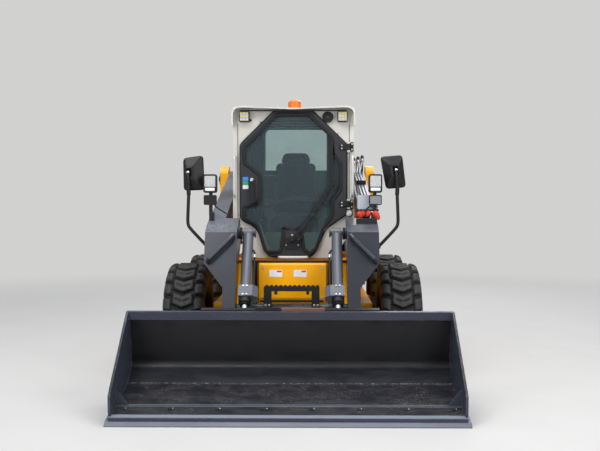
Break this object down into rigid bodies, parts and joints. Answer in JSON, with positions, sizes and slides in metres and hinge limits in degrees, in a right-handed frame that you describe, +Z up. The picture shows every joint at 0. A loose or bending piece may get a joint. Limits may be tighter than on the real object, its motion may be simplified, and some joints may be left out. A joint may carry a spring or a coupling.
{
  "type": "skid steer loader",
  "caption": "Compact wheeled skid steer loader with a closed cab, lift arms, hydraulic tilt and a wide dirt bucket on a quick coupler.",
  "frame": {"origin": "on the floor under the middle of the machine's overall length and width", "axes": "+Z up, -Y the way the machine drives and the bucket faces, +X the machine's left"},
  "size_m": [2.07, 3.56, 2.0663],
  "materials": {
    "yellow_paint": "gloss",
    "slate_paint": "satin",
    "cab_paint": "gloss",
    "charcoal_paint": "satin",
    "black_paint": "satin",
    "tinted_glass": "gloss",
    "tyre": "matte",
    "rim_paint": "satin",
    "chromed_rod": "polished",
    "bright_steel": "satin",
    "engine_iron": "matte",
    "seat_cloth": "matte",
    "black_plastic": "matte",
    "orange_plastic": "gloss",
    "red_plastic": "satin",
    "red_lens": "gloss",
    "lamp_lens": "gloss",
    "exhaust_steel": "satin"
  },
  "bodies": {
    "chassis": {"chassis_tub": "yellow_paint", "front_panel": "yellow_paint", "arm_towers": "yellow_paint", "engine_shell": "yellow_paint", "engine_block": "engine_iron", "rear_bumper": "black_paint", "tail_lamps": "red_lens", "exhaust_stack": "exhaust_steel", "cab_shell": "cab_paint", "cab_roof": "cab_paint", "side_windows": "tinted_glass", "rear_window": "tinted_glass", "seat_cushion": "seat_cloth", "seat_backrest": "seat_cloth", "control_levers": "black_plastic", "roof_lamps": "lamp_lens", "beacon": "orange_plastic"},
    "arms": {"loader_arms": "slate_paint", "step": "black_paint", "grab_bars": "slate_paint", "mirrors": "black_plastic", "headlamps": "lamp_lens", "aux_bracket": "slate_paint", "aux_caps": "red_plastic", "aux_tubes": "bright_steel"},
    "bucket": {"coupler": "slate_paint", "bucket": "slate_paint", "cutting_edge": "slate_paint"},
    "door": {"door_frame": "charcoal_paint", "door_glass": "tinted_glass", "door_handle": "black_plastic", "wiper": "black_plastic"},
    "hood": {"engine_hood": "yellow_paint"},
    "tailgate": {"tailgate": "black_paint"},
    "wheel_front_left": {"tyre_front_left": "tyre", "rim_front_left": "rim_paint"},
    "wheel_front_right": {"tyre_front_right": "tyre", "rim_front_right": "rim_paint"},
    "wheel_rear_left": {"tyre_rear_left": "tyre", "rim_rear_left": "rim_paint"},
    "wheel_rear_right": {"tyre_rear_right": "tyre", "rim_rear_right": "rim_paint"},
    "tilt_barrel_left": {"tilt_barrel_left": "slate_paint"},
    "tilt_rod_left": {"tilt_rod_left": "chromed_rod"},
    "lift_barrel_left": {"lift_barrel_left": "slate_paint"},
    "lift_rod_left": {"lift_rod_left": "chromed_rod"},
    "tilt_barrel_right": {"tilt_barrel_right": "slate_paint"},
    "tilt_rod_right": {"tilt_rod_right": "chromed_rod"},
    "lift_barrel_right": {"lift_barrel_right": "slate_paint"},
    "lift_rod_right": {"lift_rod_right": "chromed_rod"}
  },
  "joints": [
    {"name": "wheel_front_left_spin", "type": "hinge", "parent": "chassis", "child": "wheel_front_left", "pos_m": [0.758, -0.27, 0.415], "axis": [1, 0, 0], "continuous": true},
    {"name": "wheel_front_right_spin", "type": "hinge", "parent": "chassis", "child": "wheel_front_right", "pos_m": [-0.758, -0.27, 0.415], "axis": [1, 0, 0], "continuous": true},
    {"name": "wheel_rear_left_spin", "type": "hinge", "parent": "chassis", "child": "wheel_rear_left", "pos_m": [0.758, 0.9, 0.415], "axis": [1, 0, 0], "continuous": true},
    {"name": "wheel_rear_right_spin", "type": "hinge", "parent": "chassis", "child": "wheel_rear_right", "pos_m": [-0.758, 0.9, 0.415], "axis": [1, 0, 0], "continuous": true},
    {"name": "loader_lift", "type": "hinge", "parent": "chassis", "child": "arms", "pos_m": [0, 1.15, 1.48], "axis": [-1, 0, 0], "range_deg": [0, 64]},
    {"name": "bucket_tilt", "type": "hinge", "parent": "arms", "child": "bucket", "pos_m": [0, -0.92, 0.32], "axis": [1, 0, 0], "range_deg": [-38, 86]},
    {"name": "door_swing", "type": "hinge", "parent": "chassis", "child": "door", "pos_m": [0.398, -0.272, 1.45], "axis": [0, 0, 1], "range_deg": [0, 50]},
    {"name": "hood_lift", "type": "hinge", "parent": "chassis", "child": "hood", "pos_m": [0, 0.794, 1.301], "axis": [1, 0, 0], "range_deg": [0, 60]},
    {"name": "tailgate_swing", "type": "hinge", "parent": "chassis", "child": "tailgate", "pos_m": [-0.452, 1.697, 0.88], "axis": [0, 0, 1], "range_deg": [0, 100]},
    {"name": "tilt_barrel_left_swing", "type": "hinge", "parent": "arms", "child": "tilt_barrel_left", "pos_m": [0.307, -0.54, 1.052], "axis": [1, 0, 0], "range_deg": [-0.96, 1.92]},
    {"name": "tilt_rod_left_slide", "type": "slide", "parent": "tilt_barrel_left", "child": "tilt_rod_left", "axis": [0, -0.6176, -0.7865], "range_m": [-0.0876, 0.1957]},
    {"name": "lift_barrel_left_swing", "type": "hinge", "parent": "chassis", "child": "lift_barrel_left", "pos_m": [0.53, 1.09, 0.648], "axis": [1, 0, 0], "range_deg": [-44.04, 0]},
    {"name": "lift_rod_left_slide", "type": "slide", "parent": "lift_barrel_left", "child": "lift_rod_left", "axis": [0, -0.9571, 0.2899], "range_m": [0, 0.7401]},
    {"name": "tilt_barrel_right_swing", "type": "hinge", "parent": "arms", "child": "tilt_barrel_right", "pos_m": [-0.307, -0.54, 1.052], "axis": [1, 0, 0], "range_deg": [-0.96, 1.92]},
    {"name": "tilt_rod_right_slide", "type": "slide", "parent": "tilt_barrel_right", "child": "tilt_rod_right", "axis": [0, -0.6176, -0.7865], "range_m": [-0.0876, 0.1957]},
    {"name": "lift_barrel_right_swing", "type": "hinge", "parent": "chassis", "child": "lift_barrel_right", "pos_m": [-0.53, 1.09, 0.648], "axis": [1, 0, 0], "range_deg": [-44.04, 0]},
    {"name": "lift_rod_right_slide", "type": "slide", "parent": "lift_barrel_right", "child": "lift_rod_right", "axis": [0, -0.9571, 0.2899], "range_m": [0, 0.7401]}
  ],
  "couplings": [
    {"joint": "tilt_barrel_left_swing", "follows": "bucket_tilt", "ratio": 0.02},
    {"joint": "tilt_rod_left_slide", "follows": "bucket_tilt", "m_per_rad": 0.12904},
    {"joint": "lift_barrel_left_swing", "follows": "loader_lift", "ratio": -0.685},
    {"joint": "lift_rod_left_slide", "follows": "loader_lift", "m_per_rad": 0.66079},
    {"joint": "tilt_barrel_right_swing", "follows": "bucket_tilt", "ratio": 0.02},
    {"joint": "tilt_rod_right_slide", "follows": "bucket_tilt", "m_per_rad": 0.12904},
    {"joint": "lift_barrel_right_swing", "follows": "loader_lift", "ratio": -0.685},
    {"joint": "lift_rod_right_slide", "follows": "loader_lift", "m_per_rad": 0.66079}
  ]
}
